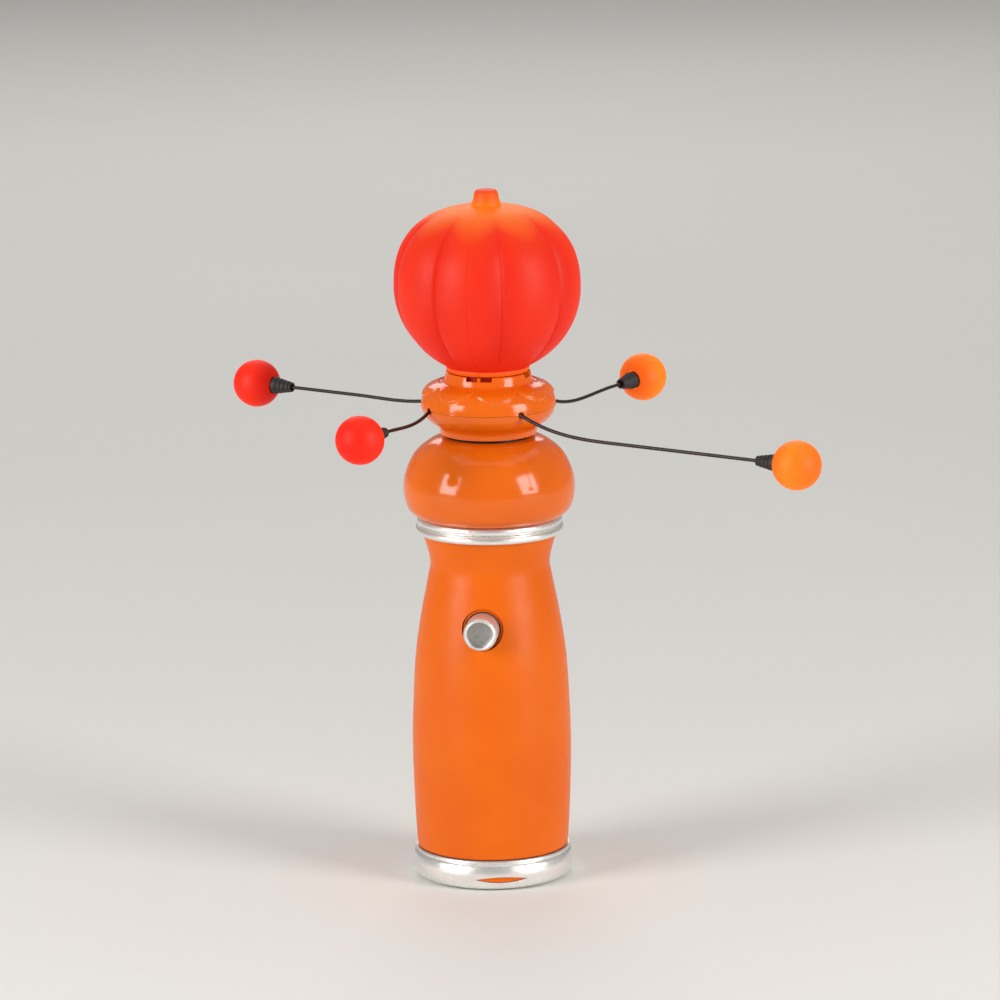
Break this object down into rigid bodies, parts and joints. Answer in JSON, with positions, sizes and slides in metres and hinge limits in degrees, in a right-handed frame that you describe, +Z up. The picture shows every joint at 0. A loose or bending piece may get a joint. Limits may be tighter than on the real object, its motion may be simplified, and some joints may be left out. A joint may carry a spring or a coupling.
{
  "type": "light up spinner wand",
  "caption": "Hand-held spinner wand: round grip with push button, silver rings, motor housing, spinning collar with lamps on thin leads, and a lit pumpkin-shaped head.",
  "frame": {"origin": "centre of the flat base, on the spin axis, where the battery cap stands on the table", "axes": "+Z up along the spin axis from the base to the head's stem; -Y is the grip's front, where the button is; +X is to the right seen from the front"},
  "size_m": [0.158, 0.1119, 0.1752],
  "materials": {
    "orange_abs": "glossy injection-moulded orange ABS",
    "silver_paint": "satin silver paint over moulded plastic",
    "head_translucent": "frosted translucent red-orange plastic, lit from inside",
    "stem_translucent": "frosted translucent orange plastic, lit from inside",
    "lamp_orange": "frosted translucent orange plastic, lit from inside",
    "lamp_red": "frosted translucent red plastic, lit from inside",
    "led_lens": "clear tinted epoxy",
    "cable_sheath": "dark soft PVC sheath",
    "boot_rubber": "moulded black rubber",
    "inner_plastic": "unpolished black ABS",
    "board_laminate": "green solder-masked laminate",
    "plated_steel": "bright zinc or nickel plating",
    "cell_jacket": "printed film jacket, left plain",
    "bronze": "sintered bronze",
    "copper": "spring copper alloy"
  },
  "bodies": {
    "grip": {"front_shell": "orange_abs", "rear_shell": "orange_abs", "foot_ring": "silver_paint", "battery_cap": "orange_abs", "trim_ring": "silver_paint", "battery_cap_screw": "plated_steel", "shell_screw_left": "plated_steel", "shell_screw_right": "plated_steel", "battery_carrier": "inner_plastic", "battery_cell_1": "cell_jacket", "battery_cell_2": "cell_jacket", "battery_cell_3": "cell_jacket", "battery_spring_1": "plated_steel", "battery_spring_2": "plated_steel", "battery_spring_3": "plated_steel", "contact_strip_top": "plated_steel", "contact_strip_bottom": "plated_steel", "contact_tab_top": "plated_steel", "contact_tab_bottom": "plated_steel", "motor_can": "plated_steel", "motor_end_cap": "inner_plastic", "motor_cradle": "inner_plastic", "motor_housing": "orange_abs", "brush_holder": "inner_plastic", "shaft_bush": "bronze", "brush_inner": "copper", "brush_outer": "copper", "button_guide": "orange_abs", "switch_body": "inner_plastic", "circuit_board": "board_laminate"},
    "button": {"button_cap": "silver_paint", "switch_plunger": "inner_plastic"},
    "rotor": {"motor_shaft": "plated_steel", "rotor_hub": "inner_plastic", "slip_ring_board": "board_laminate", "slip_ring_inner": "copper", "slip_ring_outer": "copper", "collar_lower_shell": "orange_abs", "collar_upper_shell": "orange_abs", "head_shell_left": "head_translucent", "head_shell_right": "head_translucent", "head_stem": "stem_translucent", "head_led_board": "board_laminate", "head_led": "led_lens"},
    "arm_1": {"lead_1": "cable_sheath", "lamp_boot_1": "boot_rubber", "lamp_globe_1": "lamp_orange", "lamp_led_1": "led_lens"},
    "arm_2": {"lead_2": "cable_sheath", "lamp_boot_2": "boot_rubber", "lamp_globe_2": "lamp_orange", "lamp_led_2": "led_lens"},
    "arm_3": {"lead_3": "cable_sheath", "lamp_boot_3": "boot_rubber", "lamp_globe_3": "lamp_red", "lamp_led_3": "led_lens"},
    "arm_4": {"lead_4": "cable_sheath", "lamp_boot_4": "boot_rubber", "lamp_globe_4": "lamp_red", "lamp_led_4": "led_lens"}
  },
  "joints": [
    {"name": "spin", "type": "hinge", "parent": "grip", "child": "rotor", "pos_m": [0, 0, 0.1208], "axis": [0, 0, 1], "continuous": true},
    {"name": "button_press", "type": "slide", "parent": "grip", "child": "button", "axis": [0, 1, 0], "range_m": [0, 0.002], "stiffness_N_per_m": 400, "springref_m": -0.0025},
    {"name": "lead_swing_1", "type": "hinge", "parent": "rotor", "child": "arm_1", "pos_m": [0.01041, -0.01382, 0.1205], "axis": [0.4384, 0.8988, 0], "range_deg": [-60, 60]},
    {"name": "lead_swing_2", "type": "hinge", "parent": "rotor", "child": "arm_2", "pos_m": [0.01382, 0.01041, 0.1205], "axis": [-0.8988, 0.4384, 0], "range_deg": [-60, 60]},
    {"name": "lead_swing_3", "type": "hinge", "parent": "rotor", "child": "arm_3", "pos_m": [-0.01041, 0.01382, 0.1205], "axis": [-0.4384, -0.8988, 0], "range_deg": [-60, 60]},
    {"name": "lead_swing_4", "type": "hinge", "parent": "rotor", "child": "arm_4", "pos_m": [-0.01382, -0.01041, 0.1205], "axis": [0.8988, -0.4384, 0], "range_deg": [-60, 60]}
  ]
}
